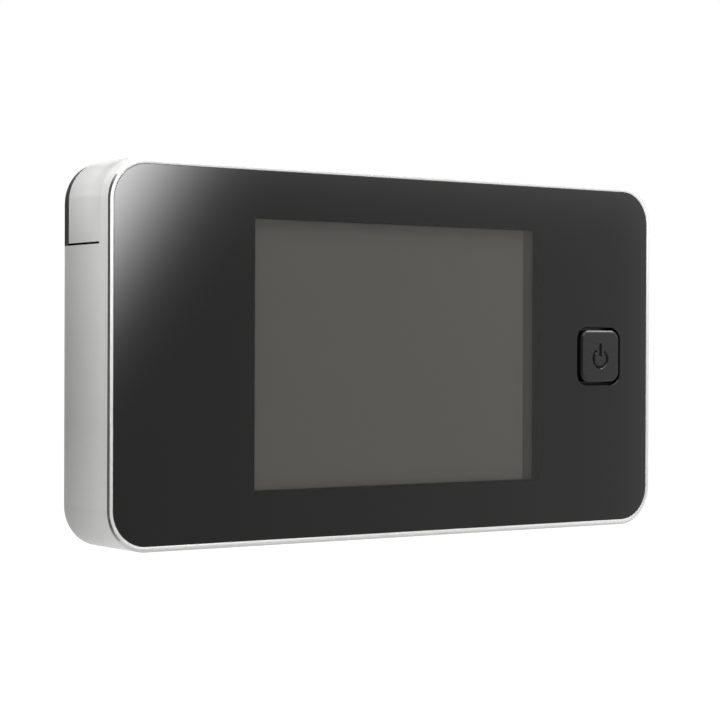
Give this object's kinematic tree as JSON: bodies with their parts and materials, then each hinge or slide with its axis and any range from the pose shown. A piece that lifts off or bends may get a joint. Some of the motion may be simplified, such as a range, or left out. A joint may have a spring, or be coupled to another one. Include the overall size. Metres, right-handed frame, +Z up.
{
  "type": "peephole door camera",
  "caption": "Indoor display unit of a digital door viewer, hung on a door bracket, with a threaded camera barrel through the door, a clamp sleeve, a power button and a lift-off battery lid.",
  "frame": {"origin": "on the camera barrel's axis, in the plane of the door's inside face", "axes": "+X to the display's right, +Y through the door to the outside, +Z up"},
  "size_m": [0.125, 0.0603, 0.0683],
  "materials": {
    "main_housing": "silver metallic paint on moulded plastic",
    "bezel_ring": "bright plated ring with a polished chamfer",
    "front_glass": "clear glossy front panel",
    "mask_film": "black print behind the front panel",
    "power_button": "dark grey satin plastic with an engraved power sign",
    "switch_body": "black moulding",
    "switch_plunger": "moulded plunger",
    "lcd_frame": "bent steel tray",
    "lcd_panel": "unlit grey liquid crystal panel",
    "lcd_light_guide": "milky acrylic sheet",
    "lcd_flex": "amber flexible circuit",
    "lcd_socket": "ivory connector",
    "main_board": "green circuit board",
    "main_processor": "black chip package",
    "memory_chip": "black chip package",
    "flash_chip": "black chip package",
    "quartz_crystal": "steel can",
    "power_coils": "ferrite cores",
    "capacitors": "tantalum blocks",
    "resistors": "chip resistors",
    "camera_socket": "ivory connector",
    "board_screws": "zinc-plated screws",
    "case_screws": "blackened screws",
    "battery_tray": "black moulding",
    "cell_left": "sleeved steel can with plain bands",
    "cell_right": "sleeved steel can with plain bands",
    "flat_contact": "nickel-plated spring steel",
    "leaf_contact": "nickel-plated spring steel",
    "back_cover": "black fine-textured moulding",
    "battery_lid": "silver metallic paint on moulded plastic",
    "door_bracket": "zinc-plated sheet steel",
    "foam_pads": "adhesive foam",
    "clamp_sleeve": "nickel-plated brass",
    "camera_barrel": "satin plated metal",
    "outer_washer": "black rubber",
    "window_glass": "clear glass",
    "lens_barrel": "black lens barrel",
    "lens_element": "coated lens glass",
    "lens_holder": "black moulding",
    "sensor_chip": "image sensor",
    "sensor_board": "green circuit board",
    "ribbon_socket": "ivory connector"
  },
  "bodies": {
    "bracket": {"door_bracket": "door_bracket", "foam_pads": "foam_pads"},
    "sleeve": {"clamp_sleeve": "clamp_sleeve"},
    "camera": {"camera_barrel": "camera_barrel", "outer_washer": "outer_washer", "window_glass": "window_glass", "lens_barrel": "lens_barrel", "lens_element": "lens_element", "lens_holder": "lens_holder", "sensor_chip": "sensor_chip", "sensor_board": "sensor_board", "ribbon_socket": "ribbon_socket"},
    "button": {"power_button": "power_button"},
    "plunger": {"switch_plunger": "switch_plunger"},
    "lid": {"battery_lid": "battery_lid"},
    "display": {"main_housing": "main_housing", "bezel_ring": "bezel_ring", "front_glass": "front_glass", "mask_film": "mask_film", "switch_body": "switch_body", "lcd_frame": "lcd_frame", "lcd_panel": "lcd_panel", "lcd_light_guide": "lcd_light_guide", "lcd_flex": "lcd_flex", "lcd_socket": "lcd_socket", "main_board": "main_board", "main_processor": "main_processor", "memory_chip": "memory_chip", "flash_chip": "flash_chip", "quartz_crystal": "quartz_crystal", "power_coils": "power_coils", "capacitors": "capacitors", "resistors": "resistors", "camera_socket": "camera_socket", "board_screws": "board_screws", "case_screws": "case_screws", "battery_tray": "battery_tray", "cell_left": "cell_left", "cell_right": "cell_right", "flat_contact": "flat_contact", "leaf_contact": "leaf_contact", "back_cover": "back_cover"}
  },
  "joints": [
    {"name": "display_lift", "type": "slide", "parent": "bracket", "child": "display", "axis": [0, 0, 1], "range_m": [0, 0.006]},
    {"name": "sleeve_turn", "type": "hinge", "parent": "bracket", "child": "sleeve", "pos_m": [0, 0, 0], "axis": [0, 1, 0], "range_deg": [-1801, 5761]},
    {"name": "camera_slide", "type": "slide", "parent": "bracket", "child": "camera", "axis": [0, 1, 0], "range_m": [-0.005, 0.016]},
    {"name": "button_press", "type": "slide", "parent": "display", "child": "button", "axis": [0, 1, 0], "range_m": [0, 0.00025], "stiffness_N_per_m": 4000, "springref_m": -0.0001},
    {"name": "plunger_press", "type": "slide", "parent": "display", "child": "plunger", "axis": [0, 1, 0], "range_m": [0, 0.00025]},
    {"name": "lid_slide", "type": "slide", "parent": "display", "child": "lid", "axis": [0, 0, 1], "range_m": [0, 0.02]}
  ],
  "couplings": [
    {"joint": "sleeve_turn", "follows": "camera_slide", "rad_per_m": 6283.2},
    {"joint": "plunger_press", "follows": "button_press", "ratio": 1}
  ]
}
